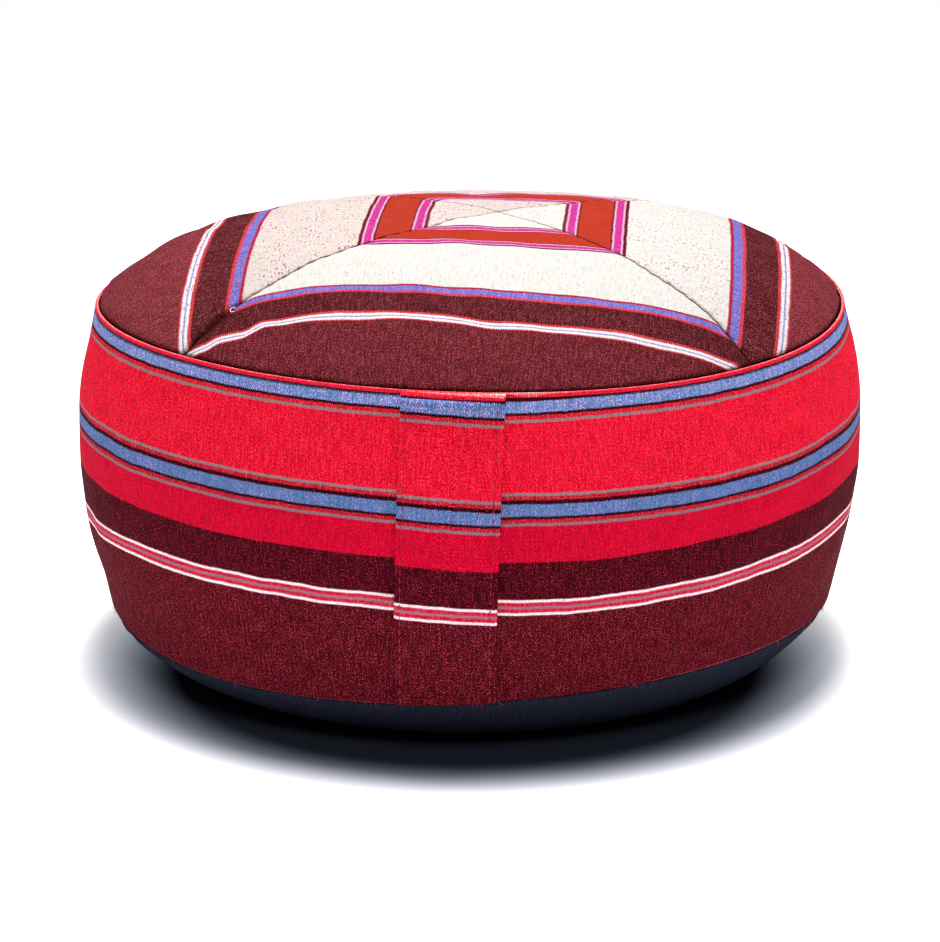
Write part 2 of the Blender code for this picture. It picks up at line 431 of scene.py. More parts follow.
class Nodes:
    """Adds nodes to one material."""

    def __init__(self, material: bpy.types.Material) -> None:
        """Opens a material for building.

        Args:
            material: A material that uses nodes.
        """
        self.tree = material.node_tree
        self.shader = self.tree.nodes["Principled BSDF"]

    def join(self, value: object, socket: bpy.types.NodeSocket) -> None:
        """Links a socket, or sets a plain value, on an input."""
        if isinstance(value, bpy.types.NodeSocket):
            self.tree.links.new(value, socket)
        else:
            socket.default_value = value

    def add(self, kind: str, inputs: dict | None = None, settings: dict | None = None):
        """Adds one node.

        Args:
            kind: Blender's name of the node.
            inputs: Values or links by input name or number.
            settings: Properties of the node.

        Returns:
            The node.
        """
        node = self.tree.nodes.new(kind)
        for name, value in (settings or {}).items():
            setattr(node, name, value)
        for name, value in (inputs or {}).items():
            self.join(value, node.inputs[name])
        return node

    def maths(self, operation: str, a: object, b: object = 0.0) -> bpy.types.NodeSocket:
        """The result of one operation on two values."""
        return self.add("ShaderNodeMath", {0: a, 1: b}, {"operation": operation}).outputs[0]

    def times(self, vector: object, factor: object) -> bpy.types.NodeSocket:
        """A vector or a colour times another one, part by part."""
        inputs = {0: vector, 1: factor}
        return self.add("ShaderNodeVectorMath", inputs, {"operation": "MULTIPLY"}).outputs[0]

    def cells(self, place: object, cell: Point, detail: float, **more: float):
        """Noise on the cloth.

        Args:
            place: The place on the cloth, in metres.
            cell: Size of a cell along and across the cloth, in millimetres.
            detail: How many finer layers it has.
            **more: Other inputs of Blender's noise.

        Returns:
            The noise node.
        """
        spot = self.times(place, (1 / cell[0] / MM, 1 / cell[1] / MM, 1.0))
        inputs = {"Vector": spot, "Scale": 1.0, "Detail": detail, **more}
        return self.add("ShaderNodeTexNoise", inputs, {"noise_dimensions": "2D"})

    def noise(self, place: object, cell: Point, detail: float) -> bpy.types.NodeSocket:
        """Noise as a value, with cells of a size in millimetres along and across the cloth."""
        return self.cells(place, cell, detail, Roughness=0.6).outputs["Fac"]

    def tinged(self, colour: object, place: object, cell: Point, amount: float):
        """A colour whose dye differs a little from thread to thread."""
        dyes = self.cells(place, cell, detail=1.0).outputs["Color"]
        inputs = {0: dyes, 1: (2 * amount,) * 3, 2: (1 - amount,) * 3}
        factor = self.add("ShaderNodeVectorMath", inputs, {"operation": "MULTIPLY_ADD"})
        return self.times(colour, factor.outputs[0])

    def swing(self, value: object, amount: float) -> bpy.types.NodeSocket:
        """A noise value as a factor that swings round 1."""
        return self.spread(value, 0.25, 0.75, 1 - amount, 1 + amount)

    def spread(self, value: object, a: float, b: float, c: float, d: float):
        """Maps a value from the range a to b onto the range c to d."""
        inputs = {"Value": value, 1: a, 2: b, 3: c, 4: d}
        return self.add("ShaderNodeMapRange", inputs, {"clamp": True}).outputs[0]

    def scaled(self, colour: object, factor: object) -> bpy.types.NodeSocket:
        """A colour times a number."""
        inputs = {0: colour, "Scale": factor}
        return self.add("ShaderNodeVectorMath", inputs, {"operation": "SCALE"}).outputs[0]

    def mixed(self, colour: object, other: object, share: object) -> bpy.types.NodeSocket:
        """A colour mixed with a share of another one."""
        inputs = {0: share, 6: colour, 7: other}
        return self.add("ShaderNodeMix", inputs, {"data_type": "RGBA"}).outputs[2]

    def ramp(self, share: object, places: Sequence[float], colours: Sequence[str]):
        """Woven stripes with sharp edges, from a share of the way across the cloth."""
        ramp = self.add("ShaderNodeValToRGB", {"Fac": share})
        ramp.color_ramp.interpolation = "CONSTANT"
        stops = ramp.color_ramp.elements
        stops.remove(stops[1])
        for number, (place, colour) in enumerate(zip(places, colours)):
            stop = stops[0] if number == 0 else stops.new(place)
            stop.position = place
            stop.color = linear(colour)
        return ramp.outputs["Color"]


@dataclass(frozen=True)
class Stripe:
    """A woven stripe: where it starts across the cloth, its colour and the thread crossing it."""

    start: float
    colour: str
    thread: str


@dataclass(frozen=True)
class Weave:
    """How the threads of a cloth show.

    Lengths are in millimetres. A cell is one patch of noise, along and across the cloth.
    """

    tooth: float = 0.5
    tooth_pitch: float = 0.95
    wander: float = 0.3
    wander_cell: Point = (9.0, 40.0)
    slub: float = 0.16
    slub_cell: Point = (0.9, 7.0)
    mottle: float = 0.06
    mottle_cell: Point = (14.0, 9.0)
    crossing: float = 0.90
    crossing_cell: Point = (0.44, 0.80)
    crossing_range: Point = (0.56, 0.69)
    streak: float = 0.35
    twill: float = 0.30
    twill_pitch: float = 1.25
    twill_sway: float = 0.5
    grain: float = 0.14
    dye: float = 0.9
    dye_cell: Point = (0.5, 0.8)
    # Tint of the painted shade along the mitre seams.
    seam_shade_tint: tuple[float, float, float] = (0.26, 0.10, 0.08)
    speck: float = 0.0
    speck_cell: Point = (2.4, 1.0)
    speck_range: Point = (0.60, 0.67)
    speck_patches: Point = (-0.07, 0.05)
    speck_colour: str = "#8C525A"
    relief: float = 0.16
    relief_strength: float = 0.9
    roughness: float = 0.88
    shine: float = 0.02


@dataclass(frozen=True)
class StripedCloth:
    """A striped cotton, as a material that reads the piece's own map of the cloth."""

    name: str
    stripes: tuple[Stripe, ...]
    end: float
    weave: Weave = field(default_factory=Weave)
    gain: float = 1.0

    def build(self) -> bpy.types.Material:
        """Makes the material.

        Returns:
            The material.
        """
        made = bpy.data.materials.new(self.name)
        made.use_nodes = True
        nodes, weave = Nodes(made), self.weave
        place = nodes.add("ShaderNodeUVMap", settings={"uv_map": CLOTH_UV}).outputs["UV"]
        picks = nodes.noise(place, weave.crossing_cell, detail=1.5)
        slubs = nodes.noise(place, weave.slub_cell, detail=2.0)
        clouds = nodes.noise(place, weave.mottle_cell, detail=4.0)
        ribs = self.ribs(nodes, place, slubs)

        colour, thread = self.striped(nodes, place)
        shown = nodes.maths("ADD", picks, nodes.maths("MULTIPLY", ribs, weave.twill / 4))
        streaks = nodes.maths("MULTIPLY", nodes.maths("SUBTRACT", slubs, 0.5), weave.streak)
        shown = nodes.maths("ADD", shown, streaks)
        shown = nodes.spread(shown, *weave.crossing_range, 0.0, weave.crossing)
        colour = nodes.mixed(colour, thread, shown)
        colour = nodes.tinged(colour, place, weave.dye_cell, weave.dye)
        if weave.speck:
            colour = self.specked(nodes, colour, place, clouds)
        shade = nodes.maths("MULTIPLY", nodes.swing(slubs, weave.slub), self.gain)
        shade = nodes.maths("MULTIPLY", shade, nodes.swing(clouds, weave.mottle))
        shade = nodes.maths("MULTIPLY", shade, nodes.swing(picks, weave.grain))
        colour = nodes.scaled(colour, shade)
        # Painted shade: along the mitre seams the colour darkens towards the seam tint, as far as
        # the seam_shade attribute says.
        seam = nodes.add("ShaderNodeAttribute", settings={"attribute_name": SEAM_SHADE})
        dark = nodes.times(colour, weave.seam_shade_tint)
        colour = nodes.mixed(colour, dark, seam.outputs["Fac"])

        relief = nodes.maths("ADD", nodes.maths("MULTIPLY", ribs, 0.25), slubs)
        relief = nodes.maths("ADD", relief, picks)
        inputs = {
            "Height": relief,
            "Strength": weave.relief_strength,
            "Distance": weave.relief * MM,
        }
        bumps = nodes.add("ShaderNodeBump", inputs)
        shader = nodes.shader
        nodes.join(colour, shader.inputs["Base Color"])
        nodes.join(bumps.outputs["Normal"], shader.inputs["Normal"])
        shader.inputs["Roughness"].default_value = weave.roughness
        shader.inputs["Specular IOR Level"].default_value = weave.shine
        return made

    def striped(
        self, nodes: Nodes, place: bpy.types.NodeSocket
    ) -> tuple[bpy.types.NodeSocket, bpy.types.NodeSocket]:
        """Lays the stripes across the cloth, with edges that wander and step with the threads.

        Args:
            nodes: The material's nodes.
            place: The place on the cloth.

        Returns:
            The stripe's colour, and the colour of the threads that cross it.
        """
        weave = self.weave
        split = nodes.add("ShaderNodeSeparateXYZ", {"Vector": place})
        teeth = nodes.maths("PINGPONG", split.outputs["X"], weave.tooth_pitch * MM / 2)
        teeth = nodes.maths("MULTIPLY", teeth, 2 * weave.tooth / weave.tooth_pitch)
        drift = nodes.noise(place, weave.wander_cell, detail=2.0)
        drift = nodes.maths("SUBTRACT", drift, 0.5)
        drift = nodes.maths("MULTIPLY", drift, 2 * weave.wander * MM)
        edge = nodes.maths("ADD", split.outputs["Y"], nodes.maths("ADD", teeth, drift))
        low = self.stripes[0].start
        share = nodes.maths("SUBTRACT", edge, low * MM)
        share = nodes.maths("DIVIDE", share, (self.end - low) * MM)
        places = [(stripe.start - low) / (self.end - low) for stripe in self.stripes]
        colour = nodes.ramp(share, places, [stripe.colour for stripe in self.stripes])
        thread = nodes.ramp(share, places, [stripe.thread for stripe in self.stripes])
        return colour, thread

    def ribs(self, nodes: Nodes, place: bpy.types.NodeSocket, slubs: bpy.types.NodeSocket):
        """Fine diagonal ribs, which sway with the thick places of the yarn."""
        weave = self.weave
        split = nodes.add("ShaderNodeSeparateXYZ", {"Vector": place})
        diagonal = nodes.maths("SUBTRACT", split.outputs["X"], split.outputs["Y"])
        sway = nodes.maths("MULTIPLY", slubs, weave.twill_sway * MM)
        diagonal = nodes.maths("ADD", diagonal, sway)
        turns = nodes.maths("MULTIPLY", diagonal, math.tau / (weave.twill_pitch * MM))
        return nodes.maths("SINE", turns)

    def specked(self, nodes: Nodes, colour: object, place: object, clouds: object):
        """The colour with dark flecks of yarn, which gather in patches."""
        weave = self.weave
        specks = nodes.noise(place, weave.speck_cell, detail=2.5)
        patches = nodes.spread(clouds, 0.35, 0.65, *weave.speck_patches)
        specks = nodes.maths("ADD", specks, patches)
        specks = nodes.spread(specks, *weave.speck_range, 0.0, weave.speck)
        return nodes.mixed(colour, linear(weave.speck_colour), specks)


# Stripes are read from the top seam down the band, and from the middle of the top outwards.
CREAM = "#F7F4EF"
BAND_STRIPES = (
    # The seat under the top panels shows only through the seam gaps, and is painted dark brown as
    # the shade in those gaps.
    Stripe(-8.0, "#2A0A10", "#2A0A10"),
    Stripe(-3.5, "#A8A0A6", "#E8DCE0"),
    # Painted highlight: a pale coral stripe along the top of the rolled edge, and along the strap's
    # top fold too.
    Stripe(-2.4, "#DC5454", "#FF9C90"),
    Stripe(-1.1, "#C81430", "#E83C48"),
    # Dark line under the roll: partly the woven dark line beside the blue stripe, and partly
    # painted shade on the roll's underside.
    Stripe(0.25, "#26060E", "#7A1828"),
    Stripe(2.0, "#587EB6", "#DCAAD6"),
    Stripe(6.7, "#180408", "#7A1830"),
    Stripe(7.8, "#C4142C", "#EE4A50"),
    Stripe(9.1, "#867C80", "#A04050"),
    Stripe(10.2, "#DC0A2C", "#F03C4C"),
    Stripe(37.9, "#867C80", "#A04050"),
    Stripe(39.0, "#B01228", "#E04A54"),
    Stripe(40.6, "#160408", "#7A1830"),
    Stripe(42.2, "#486EA0", "#A482B8"),
    Stripe(46.9, "#160408", "#7A1830"),
    Stripe(48.1, "#B01228", "#D04450"),
    Stripe(49.5, "#7C747C", "#94384A"),
    # Darker than the upper red stripe: partly its own dye, and partly painted shade towards the
    # bottom of the band.
    Stripe(50.6, "#C2042A", "#CC1C38"),
    Stripe(65.4, "#360409", "#8A2238"),
    Stripe(81.0, "#FBE0E6", "#D89AA8"),
    Stripe(82.2, "#B80C2C", "#D8506A"),
    Stripe(83.7, "#8A6A76", "#B84A5C"),
    Stripe(84.9, "#B80C2C", "#D8506A"),
    Stripe(86.4, "#FBE0E6", "#D89AA8"),
    Stripe(87.6, "#42060E", "#98303F"),
    Stripe(127.4, "#6A1A2A", "#B04A60"),
)
TOP_STRIPES = (
    Stripe(-2.0, CREAM, CREAM),
    Stripe(28.0, "#7C2028", "#A04048"),
    Stripe(28.9, "#F5C2E3", "#E890C8"),
    Stripe(29.8, "#D02E90", "#E868B8"),
    Stripe(32.6, "#F5C2E3", "#E890C8"),
    Stripe(33.5, "#7C1418", "#A03030"),
    Stripe(34.4, "#C43C26", "#B22E1A"),
    Stripe(47.8, "#600C10", "#8A2020"),
    Stripe(48.8, "#F5C2E3", "#E890C8"),
    Stripe(49.7, "#D02E90", "#E868B8"),
    Stripe(52.5, "#F5C2E3", "#E890C8"),
    Stripe(53.5, "#6A1018", "#902030"),
    Stripe(54.5, CREAM, CREAM),
    Stripe(98.4, "#B01C38", "#D84C60"),
    Stripe(99.4, "#6E72CC", "#CE9AE0"),
    Stripe(103.4, "#E03A48", "#E86A70"),
    Stripe(104.6, "#4C1519", "#B04C56"),
    Stripe(119.3, "#D83C40", "#E87070"),
    Stripe(120.3, "#FFFCFF", "#FBEAF6"),
    Stripe(122.0, "#9E8CCB", "#C8B0D8"),
    Stripe(122.8, "#FFFCFF", "#FBEAF6"),
    Stripe(124.5, "#D83C40", "#E87070"),
)

# The side band and the strap: red and burgundy cotton with blue and pink stripes.
BAND_CLOTH = StripedCloth("red striped handwoven cotton", BAND_STRIPES, end=132.0)


@dataclass(frozen=True)
class PanelTone:
    """How one top panel differs: its cream, its specks, its cross threads and its outer cloth; the
    cross threads and the outer burgundy are lighter on the side panels as painted sheen.
    """

    cream: str
    speck: float
    crossing: float
    outer: str
    outer_thread: str


# Painted sheen: the left and right panels show more of their pale cross threads and have a lighter
# outer burgundy than the front and the back.
PANEL_TONES = {
    Side.FRONT: PanelTone("#EEEAE3", 0.25, 0.85, "#601A20", "#C05460"),
    Side.RIGHT: PanelTone("#EFE8E2", 0.60, 0.90, "#7E262E", "#CC6874"),
    Side.BACK: PanelTone("#E7D5CF", 0.80, 0.85, "#6A1E24", "#C05460"),
    Side.LEFT: PanelTone("#EADAD3", 0.85, 0.90, "#7C262C", "#CC6874"),
}


def top_cloth(side: Side) -> StripedCloth:
    """The cotton of one top panel, with cream, brick red and burgundy stripes."""
    tone = PANEL_TONES[side]
    stripes = tuple(
        Stripe(stripe.start, tone.cream, tone.cream) if stripe.colour == CREAM else stripe
        for stripe in TOP_STRIPES
    ) + (Stripe(125.4, tone.outer, tone.outer_thread),)
    weave = Weave(mottle=0.05, slub=0.12, speck=tone.speck, crossing=tone.crossing, dye=0.5)
    name = f"cream striped handwoven cotton, {side.name.lower()}"
    return StripedCloth(name, stripes, end=190.0, weave=weave, gain=0.455)


class SoftPiece:
    """A piece of the cushion that is filed with the frame."""

    def __init__(self, skin: Skin) -> None:
        """Keeps the surface that the piece follows.

        Args:
            skin: The cushion's surface.
        """
        self.skin = skin

    @staticmethod
    def file(
        obj: bpy.types.Object, finish: bpy.types.Material, slot: Slot, *nodes: str
    ) -> None:
        """Gives a piece its finish, and says what it rides on and which CAD nodes it replaces.

        Args:
            obj: The piece.
            finish: Its material.
            slot: The record's slot for the material; not used.
            *nodes: The CAD nodes that the piece takes the place of.
        """
        obj.data.materials.append(finish)
        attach(obj, "root")
        if nodes:
            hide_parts(*nodes)


@dataclass(frozen=True)
class Crease:
    """A pressed crease in a cloth, from one place along and across it to another."""

    SWAY = 0.6
    SWAY_LENGTH = 3.1
    END_FADE = 3.0

    start: Point
    end: Point
    depth: float
    width: float

    def __call__(self, along: Array, across: Array) -> Array:
        """How deep the crease is at places on the cloth."""
        run_x, run_y = self.end[0] - self.start[0], self.end[1] - self.start[1]
        length = math.hypot(run_x, run_y)
        x, y = along - self.start[0], across - self.start[1]
        forward = (x * run_x + y * run_y) / length
        aside = (x * run_y - y * run_x) / length
        aside = aside + self.SWAY * np.sin(forward / self.SWAY_LENGTH)
        past = np.maximum(np.maximum(-forward, forward - length), 0)
        return self.depth * bump(aside, 0.0, self.width) * bump(past, 0.0, self.END_FADE)


@dataclass(frozen=True)
class SwellSize:
    """How the filling's push is worked out. Lengths are in millimetres."""

    voxel: float = 6.0
    pressure: float = 9.0
    frames: int = 20
    cap: float = 1.5
    ring: float = 3.0
    neighbours: int = 6
    least_hold: float = 0.01


class Swelling:
    """Lets the filling press a piece out between its seams, as cloth on a coarse copy."""

    def __init__(self, size: SwellSize) -> None:
        """Keeps the sizes.

        Args:
            size: How the push is worked out.
        """
        self.size = size

    @staticmethod
    def read(obj: bpy.types.Object) -> Array:
        """The object's points in millimetres."""
        flat = np.empty(len(obj.data.vertices) * 3)
        obj.data.vertices.foreach_get("co", flat)
        return flat.reshape(-1, 3) / MM

    def coarse(self, obj: bpy.types.Object) -> bpy.types.Object:
        """An even, coarse copy of a closed piece."""
        copy = linked("coarse_copy", obj.data.copy())
        evened = copy.modifiers.new("even net", "REMESH")
        evened.mode = "VOXEL"
        evened.voxel_size = self.size.voxel * MM
        apply_modifier(copy, evened)
        return copy

    def run(self, copy: bpy.types.Object, held: Array) -> Array:
        """Runs the cloth and gives how far each of its points moved, in millimetres."""
        size, scene = self.size, bpy.context.scene
        before = self.read(copy)
        group = copy.vertex_groups.new(name="held at the seams")
        for number, share in enumerate(held):
            if share > size.least_hold:
                group.add([number], float(share), "REPLACE")
        cloth = copy.modifiers.new("filling's push", "CLOTH")
        cloth.settings.use_pressure = True
        cloth.settings.uniform_pressure_force = size.pressure
        cloth.settings.effector_weights.gravity = 0.0
        cloth.settings.vertex_group_mass = group.name
        cloth.point_cache.frame_start = 1
        cloth.point_cache.frame_end = size.frames
        for frame in range(1, size.frames + 1):
            scene.frame_set(frame)
        apply_modifier(copy, cloth)
        scene.frame_set(1)
        return self.read(copy) - before

    def press(self, obj: bpy.types.Object, held: Callable[[Array], Array]) -> None:
        """Moves the piece's points as its coarse copy moved, but no further than the cap.

        The even part of the swelling, which is in the measured outline already, is left out.

        Args:
            obj: A closed piece.
            held: Gives how firmly points are held, from 0 to 1.
        """
        size = self.size
        copy = self.coarse(obj)
        start = self.read(copy)
        moved = self.run(copy, held(start))
        tree = KDTree(len(start))
        for number, point in enumerate(start):
            tree.insert(point, number)
        tree.balance()
        points = self.read(obj)
        flat = np.empty(len(points) * 3)
        obj.data.vertices.foreach_get("normal", flat)
        normals = flat.reshape(-1, 3)
        push = np.zeros(len(points))
        for number, point in enumerate(points):
            near = tree.find_n(point, size.neighbours)
            weights = np.array([1.0 / (gap + 1.0) for _, _, gap in near])
            shift = weights @ moved[[index for _, index, _ in near]] / weights.sum()
            push[number] = shift @ normals[number]
        free = 1.0 - np.clip(held(points), 0, 1)
        ring = np.round(points[:, 2] / size.ring).astype(int)
        ring -= ring.min()
        count = np.maximum(np.bincount(ring, free), 1e-6)
        push -= (np.bincount(ring, push * free) / count)[ring]
        push = np.clip(push, -size.cap, size.cap) * free
        LOG.info("filling's push: %.2f to %.2f mm", push.min(), push.max())
        points += normals * push[:, None]
        obj.data.vertices.foreach_set("co", (points * MM).ravel())
        obj.data.update()
        bpy.data.objects.remove(copy, do_unlink=True)


@dataclass(frozen=True)
class BodySize:
    """Sizes of the side band and its rolled top edge.

    A drop is measured down the band from the top seam, and a turn is an angle round it.
    """

    columns: int = 720
    seat_rows: int = 20
    seat_ease: float = 0.8
    roll_rows: int = 14
    band_rows: int = 76
    base_rows: int = 14
    base_start: float = 0.04
    underside_radii: Point = (60.0, 0.0)
    first_drops: tuple[float, ...] = (2.0, 2.2, 2.5, 3.0, 3.6)
    even_ends: Point = (4.6, 2.4)
    last_heights: tuple[float, ...] = (1.6, 0.9, 0.4, 0.0)
    roll_radius: float = 0.9
    roll_inset: float = 0.4
    roll_drop: float = 1.0
    roll_start: float = math.radians(125)
    roll_end: float = math.radians(-60)
    top_crease: Groove = Groove(1.7, 0.8, 0.9)
    foot_crease: Groove = Groove(0.3, 0.9, 0.8)
    around: float = 165.0
    join_angle: float = -0.05
    seat_cloth: float = -8.0
    roll_cloth: Point = (-1.9, 0.7)
    base_cloth: float = 3.0
    sag: Groove = Groove(0.10, 0.16, 1.4)
    sag_drop: float = 16.0
    sag_start: float = 1.5
    roll_shift: Groove = Groove(0.15, 0.06, 1.2)
    roll_shift_drops: Point = (-3.0, 0.9)
    side_rise: float = 1.6
    side_turn: Point = (0.3, 0.35)
    back_fall: float = 0.7
    back_turn: Point = (1.2, 0.6)
    rise_drop: float = 60.0
    lump: float = 0.42
    lump_slant: Point = (0.6, 0.8)
    smooth_ends: Point = (3.0, 126.0)
    smooth_fade: float = 14.0
    gather_around: float = 160.0
    top_hold: Point = (5.0, 2.5)
    foot_hold: Point = (3.0, 1.5)
    hold_fade: float = 3.0
    strap_hold: float = 0.5
    strap_half: float = 21.0


class FilledBody(SoftPiece):
    """The filled side band with its rolled top edge, over the seat for the panels."""

    CREASES = (
        Crease((-30.0, 11.5), (-62.0, 19.0), 0.55, 2.6),
        Crease((-30.0, 21.0), (-48.0, 25.0), 0.35, 3.2),
        Crease((-66.0, 9.5), (-92.0, 13.0), 0.3, 2.8),
        Crease((22.0, 12.0), (44.0, 18.0), 0.35, 3.0),
        Crease((-84.0, 60.0), (-70.0, 78.0), 0.3, 4.0),
        Crease((118.0, 16.0), (132.0, 34.0), 0.35, 4.0),
        Crease((-150.0, 14.0), (-138.0, 34.0), 0.35, 4.0),
        Crease((196.0, 10.0), (206.0, 30.0), 0.35, 4.0),
        Crease((430.0, 12.0), (446.0, 36.0), 0.35, 4.5),
        Crease((700.0, 12.0), (712.0, 34.0), 0.35, 4.0),
    )

    def __init__(self, skin: Skin, size: BodySize) -> None:
        """Keeps the sizes.

        Args:
            skin: The cushion's surface.
            size: The band's sizes.
        """
        super().__init__(skin)
        self.size = size

    def profile(self) -> tuple[Array, Array, Array]:
        """Radius, height and place across the cloth, from the top's middle to the base's."""
        skin, size = self.skin, self.size
        seat = -(skin.size.panel_cloth + skin.size.gap)
        shares = np.linspace(0.0, 1.0, size.seat_rows) ** size.seat_ease
        radius, height = skin.offset(skin.crown, shares, seat)
        radius[0] = 0.0
        across = [np.full(len(shares), size.seat_cloth)]
        rows = [(radius, height)]

        turn = np.linspace(size.roll_start, size.roll_end, size.roll_rows)
        middle_r = skin.top_seam.radius - size.roll_inset
        middle_z = skin.top_seam.height - size.roll_drop
        out, up = size.roll_radius * np.cos(turn), size.roll_radius * np.sin(turn)
        rows.append((middle_r + out, middle_z + up))
        across.append(np.linspace(*size.roll_cloth, size.roll_rows))

        depth = skin.top_seam.height - skin.base_seam.height
        first, before_last = size.even_ends
        even = np.linspace(first, depth - before_last, size.band_rows)
        last = depth - np.array(size.last_heights)
        drops = np.concatenate([size.first_drops, even, last])
        sunk = size.top_crease(drops) + size.foot_crease(drops - depth)
        rows.append(skin.offset(skin.band, drops, -sunk))
        across.append(drops)

        t = np.linspace(size.base_start, 1.0, size.base_rows)
        rows.append(skin.offset(skin.base, t, seat))
        inner = np.array(size.underside_radii)
        rows.append((inner, np.full(len(inner), -seat)))
        across.append(np.full(len(t) + len(inner), depth + size.base_cloth))
        radius = np.concatenate([r for r, _ in rows])
        height = np.concatenate([z for _, z in rows])
        return radius, height, np.concatenate(across)

    def pulls(self, turn: Array, drop: Array) -> Array:
        """Depth of the creases beside the strap, at angles and places down the band."""
        ahead, behind = turn * self.size.around, (turn - math.tau) * self.size.around
        near = sum(crease(ahead, drop) for crease in self.CREASES)
        return near + sum(crease(behind, drop) for crease in self.CREASES)

    def held(self, points: Array) -> Array:
        """How firmly points are held: at both seams, and less so under the strap.

        Args:
            points: Points in millimetres.

        Returns:
            A share from 0 to 1 for each point.
        """
        skin, size = self.skin, self.size
        angle = np.arctan2(points[:, 0], -points[:, 1])
        waves = Waves(seed=53, longest=30.0, shortest=12.0)
        gathers = waves(angle * size.gather_around, 0 * angle)
        below = skin.top_seam.height - points[:, 2]
        above = points[:, 2] - skin.base_seam.height
        top, foot = (
            ramped(reach + sway * gathers - away, 0.0, size.hold_fade)
            for (reach, sway), away in ((size.top_hold, below), (size.foot_hold, above))
        )
        behind_strap = (np.abs(points[:, 0]) < size.strap_half) & (points[:, 1] < 0)
        return np.maximum(np.maximum(top, foot), size.strap_hold * behind_strap)

    def woven(self, turn: Array, drop: Array) -> Array:
        """Where on its striped cloth the band lies.

        The stripes sag to the right of the strap, show less of the roll there, and rise a
        little round the side.

        Args:
            turn: Angles round the band.
            drop: Places down the band.

        Returns:
            Places across the striped cloth.
        """
        size = self.size
        sag = size.sag(turn) * bump(drop, 0.0, size.sag_drop) * ramped(drop, 0.0, size.sag_start)
        first, last = size.roll_shift_drops
        shift = size.roll_shift(turn) * (drop < last) * (drop > first)
        rise = size.side_rise * ramped(turn, *size.side_turn)
        rise = rise - size.back_fall * ramped(turn, *size.back_turn)
        return drop - sag - shift + rise * (drop > size.rise_drop)

    def relief(self, turn: Array, drop: Array) -> Array:
        """Height of the filling's lumps and of the creases, at angles and places down the band."""
        size = self.size
        lumps = Waves(seed=11, longest=62.0, shortest=24.0)
        along_x, along_y = size.lump_slant
        bulge = lumps(
            size.around * np.sin(turn) + along_x * drop, along_y * drop - size.around * np.cos(turn)
        )
        first, last = size.smooth_ends
        fade = ramped(drop, first, size.smooth_fade) * ramped(-drop, -last, size.smooth_fade)
        return (size.lump * bulge - self.pulls(turn, drop)) * fade

    def build(self, finish: bpy.types.Material) -> bpy.types.Object:
        """Makes the piece.

        Args:
            finish: Its material.

        Returns:
            The piece.
        """
        size, skin = self.size, self.skin
        radius, height, across = self.profile()
        angle = size.join_angle + np.linspace(0, math.tau, size.columns + 1)
        turn, r = np.meshgrid(angle, radius)
        z = np.repeat(height[:, None], len(angle), axis=1)
        drop = np.repeat(across[:, None], len(angle), axis=1)
        cloth = np.stack([turn * size.around, self.woven(turn, drop)], axis=-1)
        patch = Patch(skin.turned(r, turn, z), cloth, closed=True)
        net = patch.raised(self.relief(turn, drop))
        obj = net.to_object("filled_side_band", (True, True))
        Swelling(SwellSize()).press(obj, self.held)
        self.file(obj, finish, Slot.BAND, "filled_body")
        return obj


@dataclass(frozen=True)
class PanelSize:
    """Sizes of a top panel's net, seams and relief, and of the painted shade along its seams.

    A pair for a seam holds its size at the middle of the top and what the rim adds to it.
    """

    rows: int = 112
    row_ease: float = 0.92
    first_row: float = 0.0015
    middle_columns: int = 110
    edges: tuple[float, ...] = (0.15, 0.4, 0.75, 1.2, 1.8, 2.6, 3.6, 5.0)
    cloth_apart: float = 400.0
    bow_start: Point = (70.0, 30.0)
    bow_change: Point = (100.3, 22.5)
    rim_reach: float = 150.0
    seam_depth: Point = (0.675, 1.35)
    seam_width: Point = (0.96, 1.12)
    pucker: float = 0.16
    pucker_pitch: float = 7.5
    pucker_reach: float = 4.0
    pucker_start: float = 30.0
    lump: float = 0.28
    lump_fade: float = 14.0
    gather: float = 0.5
    gather_around: float = 156.0
    gather_reach: float = 13.0
    rim_depth: float = 0.7
    rim_width: float = 0.8
    # The painted shade along the mitre seams: its strength, its width at the middle and what the
    # rim adds, and how much wider it is near the front-left seam.
    shade: float = 0.95
    shade_width: Point = (0.4, 0.35)
    front_left_shade_widening: Groove = Groove(154.0, 15.0, 2.6)


@dataclass(frozen=True)
class PanelNet:
    """Where a panel's points lie on the crown, in millimetres along the cloth."""

    x: Array
    y: Array
    distance: Array
    alpha: Array
    rim: float

    @property
    def across(self) -> Array:
        """Places across the stripes, from the mitres' meeting point outwards."""
        return self.distance * np.cos(self.alpha)

    @property
    def along(self) -> Array:
        """Places along the stripes."""
        return self.distance * np.sin(self.alpha)

    @property
    def arc(self) -> Array:
        """Distance from the cushion's axis, along the crown."""
        return np.hypot(self.x, self.y)

    @property
    def angle(self) -> Array:
        """Angle round the cushion's axis."""
        return np.arctan2(self.x, -self.y)

    @property
    def away(self) -> Array:
        """Distance from the nearer mitre seam."""
        return self.distance * (math.pi / 4 - np.abs(self.alpha))


